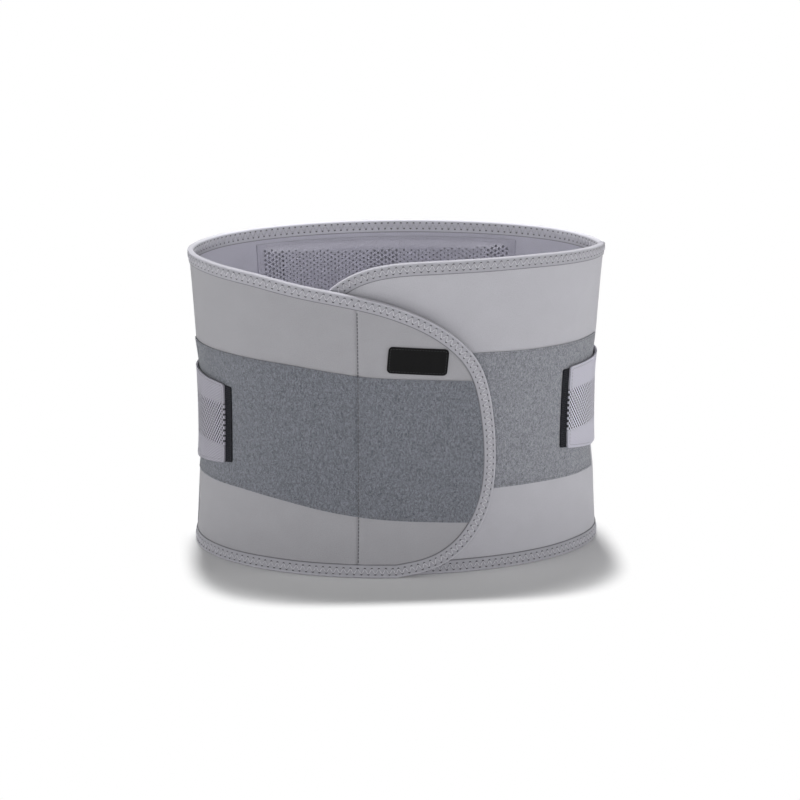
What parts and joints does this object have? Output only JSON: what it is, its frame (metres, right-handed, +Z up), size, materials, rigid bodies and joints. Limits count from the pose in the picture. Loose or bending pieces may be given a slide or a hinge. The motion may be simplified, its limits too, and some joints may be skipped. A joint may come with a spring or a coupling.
{
  "type": "lumbar support belt",
  "caption": "Wide grey fabric belt closed in an oval, with an overlapping rounded front flap, a brushed loop band, side tension straps and a stayed mesh back.",
  "frame": {"origin": "middle of the oval, on the plane that the belt's bottom edge stands on", "axes": "+Z up, -Y the wearer's front, +X the wearer's left, along the oval's long side"},
  "size_m": [0.336, 0.2428, 0.2499],
  "materials": {
    "outer_fabric": "light grey elastic knit laminate, soft matt face",
    "lining": "smooth grey knit lining",
    "loop_pile": "mid grey brushed loop pile",
    "binding_tape": "pale grey elastic binding tape, zigzag stitched",
    "lumbar_mesh": "grey perforated mesh",
    "foam_pad": "thin foam covered in lilac grey knit",
    "sleeve_tape": "grey woven tape",
    "spring_steel": "flat spring steel, brushed",
    "cap_plastic": "black moulded caps",
    "strap_webbing": "light grey elastic webbing with an open diamond knit along its middle",
    "hook_tape": "black moulded hook tape",
    "label": "plain black woven label, bare"
  },
  "bodies": {
    "back": {"back_outer_fabric": "outer_fabric", "back_lining": "lining", "back_top_binding": "binding_tape", "back_bottom_binding": "binding_tape", "lumbar_mesh_panel": "lumbar_mesh", "right_lumbar_pad": "foam_pad", "left_lumbar_pad": "foam_pad", "strap_anchor_patch": "strap_webbing", "right_strap_rear": "strap_webbing", "left_strap_rear": "strap_webbing", "stay_end_caps": "cap_plastic", "right_inner_stay_sleeve": "sleeve_tape", "right_outer_stay_sleeve": "sleeve_tape", "left_inner_stay_sleeve": "sleeve_tape", "left_outer_stay_sleeve": "sleeve_tape", "right_inner_steel_stay": "spring_steel", "right_outer_steel_stay": "spring_steel", "left_inner_steel_stay": "spring_steel", "left_outer_steel_stay": "spring_steel"},
    "right_wing": {"right_wing_outer_fabric": "outer_fabric", "right_wing_lining": "lining", "right_wing_loop_strip": "loop_pile", "right_wing_top_binding": "binding_tape", "right_wing_bottom_binding": "binding_tape", "right_strap_front": "strap_webbing"},
    "closure_flap": {"flap_outer_fabric": "outer_fabric", "flap_lining": "lining", "flap_loop_strip": "loop_pile", "flap_binding": "binding_tape", "flap_hook_panel": "hook_tape", "label_patch": "label"},
    "left_wing": {"left_wing_outer_fabric": "outer_fabric", "left_wing_lining": "lining", "left_wing_loop_strip": "loop_pile", "left_wing_binding": "binding_tape", "left_strap_front": "strap_webbing"},
    "right_tab": {"right_strap_tab": "strap_webbing", "right_tab_hook_pad": "hook_tape"},
    "left_tab": {"left_strap_tab": "strap_webbing", "left_tab_hook_pad": "hook_tape"}
  },
  "joints": [
    {"name": "right_wing_swing", "type": "hinge", "parent": "back", "child": "right_wing", "pos_m": [-0.1682, 0, 0.115], "axis": [0, 0, -1], "range_deg": [0, 80]},
    {"name": "closure_flap_peel", "type": "hinge", "parent": "right_wing", "child": "closure_flap", "pos_m": [-0.04364, -0.12051, 0.115], "axis": [0, 0, -1], "range_deg": [0, 100]},
    {"name": "left_wing_swing", "type": "hinge", "parent": "back", "child": "left_wing", "pos_m": [0.16225, -0.0311, 0.115], "axis": [0, 0, 1], "range_deg": [0, 36]},
    {"name": "right_tab_peel", "type": "hinge", "parent": "right_wing", "child": "right_tab", "pos_m": [-0.16452, -0.0126, 0.115], "axis": [0, 0, -1], "range_deg": [0, 80]},
    {"name": "left_tab_peel", "type": "hinge", "parent": "left_wing", "child": "left_tab", "pos_m": [0.15634, -0.03752, 0.115], "axis": [0, 0, 1], "range_deg": [0, 80]}
  ],
  "couplings": [
    {"joint": "left_wing_swing", "follows": "right_wing_swing", "ratio": 0.45}
  ]
}
